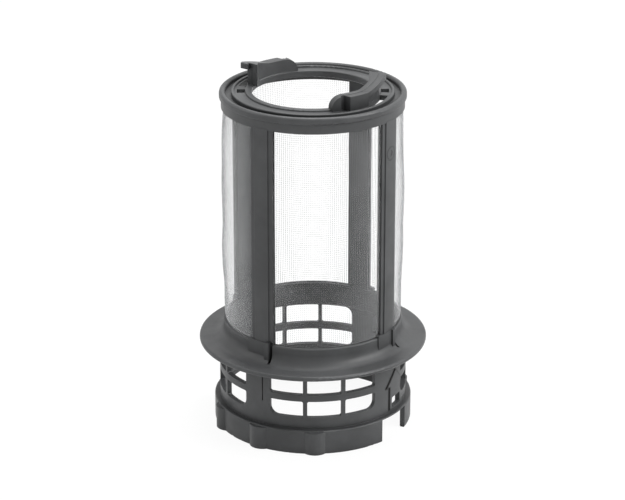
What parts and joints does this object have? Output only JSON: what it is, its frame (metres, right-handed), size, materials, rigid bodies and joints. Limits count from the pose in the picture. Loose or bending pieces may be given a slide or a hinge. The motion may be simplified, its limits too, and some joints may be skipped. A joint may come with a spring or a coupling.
{
  "type": "dishwasher filter",
  "caption": "Cylindrical dishwasher fine filter: moulded frame with woven mesh windows, bayonet hooks on the open end, a seating flange, a slotted cage and a lobed skirt",
  "frame": {"origin": "centre of the skirt's bottom edge, on the filter's axis, where it stands", "axes": "+Z along the axis from the skirt to the bayonet hooks, -Y towards the viewer of the picture, +X to the right"},
  "size_m": [0.092, 0.092, 0.148],
  "materials": {
    "frame": "mid grey polypropylene, fine satin texture with soft mould marks",
    "mesh": "pale grey fine woven polyester filter mesh, stretched and moulded in"
  },
  "bodies": {
    "root": {"frame": "frame", "mesh": "mesh"}
  },
  "joints": []
}
